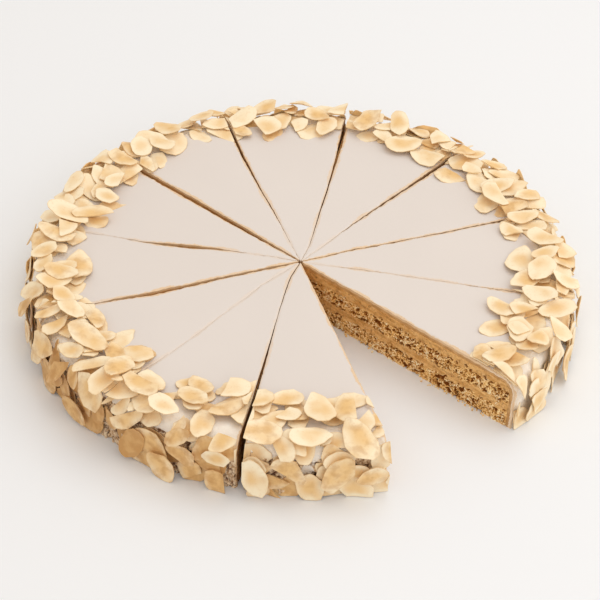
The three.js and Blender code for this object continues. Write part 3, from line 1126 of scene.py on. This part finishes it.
def almonds(name, flakes, indices, nodes):
    """All the flakes, each resting on the icing or on those before it, and cut with the slices."""
    whole = marked_mesh()
    scratch = bpy.data.meshes.new("scratch")
    for index in indices:
        in_slice = marked_mesh()
        for flake, broken, tone in flakes:
            if not crosses_slice(flake, index):
                continue
            # The flake's tone, with painted shade added low on the side turned from the lamps.
            bm = laid_flake(flake, broken, tone + painted_side_shade(flake), BVHTree.FromBMesh(in_slice))
            if not bm:
                continue
            for vert in bm.verts:
                vert.co.z = max(vert.co.z, LOWEST_ALMOND)
            if lies_in_slice(bm, index):
                bm.to_mesh(scratch)
                in_slice.from_mesh(scratch)
            bm.free()
        in_slice.to_mesh(scratch)
        whole.from_mesh(scratch)
        in_slice.free()
    bpy.data.meshes.remove(scratch)
    bmesh.ops.recalc_face_normals(whole, faces=whole.faces)
    shade_smooth(whole, sharp_from=40)
    finish_piece(name, whole, ALMOND, nodes)


# ---- Crumbs -------------------------------------------------------------------------------------


def add_crumbs(name):
    """Loose crumbs of sponge at the foot of the two open cuts."""
    whim = random.Random(SEED)
    bm = bmesh.new()
    pore = bm.verts.layers.float.new("pore")
    crumb = bm.verts.layers.float.new("crumb")
    open_cuts = ((MISSING_SLICE, 1, HIDDEN_CUT_CRUMBS), (MISSING_SLICE + 1, -1, SHOWN_CUT_CRUMBS))
    for index, side, count in open_cuts:
        way = away(cut_angle(index))
        across = crosswise(cut_angle(index)) * side
        for _ in range(count):
            size = whim.uniform(*CRUMB_SIZE)
            radius = CAKE_RADIUS * whim.uniform(0.2, 1.0)
            place = way * radius + across * abs(whim.gauss(*CRUMB_DRIFT)) + UP * (size * 0.7)
            turn = Euler([whim.uniform(0, 6) for _ in range(3)]).to_matrix()
            matrix = Matrix.Translation(place) @ turn.to_4x4()
            made = bmesh.ops.create_icosphere(bm, subdivisions=1, radius=size, matrix=matrix)
            for vert in made["verts"]:
                vert[pore] = whim.uniform(-0.4, 0.15)
                vert[crumb] = 1.0
                vert.co = place + (vert.co - place) * whim.uniform(0.6, 1.25)
                vert.co.z = max(vert.co.z, 0.02)
    shade_smooth(bm, sharp_from=20)
    finish_piece(name, bm, SPONGE, [])


# ---- The slices ---------------------------------------------------------------------------------

# Each layer from the bottom up: its name, its share of crumb, its material and its slot.
LAYERS = [
    ("lower_sponge", 1.0, SPONGE, "sponge"),
    ("filling", 0.0, NUT_CREAM, "nut_cream"),
    ("upper_sponge", 1.0, SPONGE, "sponge"),
    ("top_cream", 0.0, NUT_CREAM, "nut_cream"),
]

# Unseeded, noise_vector would differ from run to run.
noise.seed_set(SEED)

whim = random.Random(SEED)
draw = Draws(SEED)
large_flakes = [
    (flake, whim.random() < LARGE_BROKEN_SHARE, whim.random())
    for flake in plan_flakes(FLAKE_ROWS, FLAKE_LENGTH, draw)
]
small_flakes = [
    (bunched(flake), whim.random() < SMALL_BROKEN_SHARE, whim.random())
    for flake in plan_flakes(SMALL_ROWS, SMALL_LENGTH, draw)
]

places = [index for index in range(PORTIONS) if index != MISSING_SLICE]
for number, index in enumerate(places, start=1):
    slice_name = f"slice_{number}"
    for layer, crumb, material, slot in LAYERS:
        node = f"{slice_name}_{layer}"
        cake_layer(f"{node}_cut", index, node, crumb, material)
    icing_coat(f"{slice_name}_icing_coat", index, f"{slice_name}_icing")
icing_nodes = [f"slice_{number}_icing" for number in range(1, PORTIONS)]
flakes = large_flakes + small_flakes
whim.shuffle(flakes)
almonds("flaked_almonds", flakes, places, icing_nodes)
add_crumbs("crumbs")


# ---- Floor, light and camera --------------------------------------------------------------------

FLOOR_HALF = 12.0

# The camera: its place in millimetres, its turns in degrees, its lens and film in millimetres.
CAMERA_PLACE = (-57.0, -679.5, 576.3)
CAMERA_YAW = -4.81
CAMERA_DOWN = 40.02
CAMERA_ROLL = 1.77
CAMERA_LENS = 117.2
CAMERA_SENSOR = 36.0

SKY_COLOUR = (1.0, 0.9, 0.79, 1.0)
SKY_STRENGTH = 0.77

# Softboxes: place and width in metres, power in watts, colour.
SOFTBOXES = {
    "overhead_softbox": ((0.32, 0.3, 1.1), 1.0, 3.3, (0.96, 0.985, 1.0)),
    "right_softbox": ((1.0, -0.2, 0.5), 0.8, 1.8, (0.98, 0.985, 0.98)),
    "front_softbox": ((0.25, -1.0, 0.95), 1.0, 2.4, (1.0, 0.985, 0.96)),
}


def add_floor():
    """A plain pale floor, which isn't part of the cake."""
    bm = bmesh.new()
    bmesh.ops.create_grid(bm, x_segments=1, y_segments=1, size=FLOOR_HALF)
    floor = put_in_scene("floor", finished_mesh("floor", bm, floor_finish()))


def add_sky():
    """Warm even light from all round."""
    world = bpy.data.worlds.new("soft_sky")
    bpy.context.scene.world = world
    world.use_nodes = True
    background = world.node_tree.nodes["Background"]
    background.inputs["Color"].default_value = SKY_COLOUR
    background.inputs["Strength"].default_value = SKY_STRENGTH


def add_softbox(name, place, width, power, colour):
    """A square light that looks at the cake's middle."""
    light = bpy.data.lights.new(name, "AREA")
    light.size = width
    light.energy = power
    light.color = colour
    lamp = put_in_scene(name, light)
    lamp.location = place
    lamp.rotation_euler = (-Vector(place)).to_track_quat("-Z", "Y").to_euler()


def add_camera():
    """Looks down on the cake at the photo's angle."""
    data = bpy.data.cameras.new("camera")
    data.sensor_width = CAMERA_SENSOR
    data.lens = CAMERA_LENS
    camera = put_in_scene("camera", data)
    look = Euler((math.radians(90 - CAMERA_DOWN), 0, math.radians(CAMERA_YAW))).to_matrix()
    roll = Matrix.Rotation(math.radians(CAMERA_ROLL), 3, "Z")
    camera.matrix_world = Matrix.Translation(Vector(CAMERA_PLACE) * MM) @ (look @ roll).to_4x4()
    bpy.context.scene.camera = camera


add_floor()
add_sky()
for name, settings in SOFTBOXES.items():
    add_softbox(name, *settings)
add_camera()
bpy.context.scene.view_settings.view_transform = "Standard"
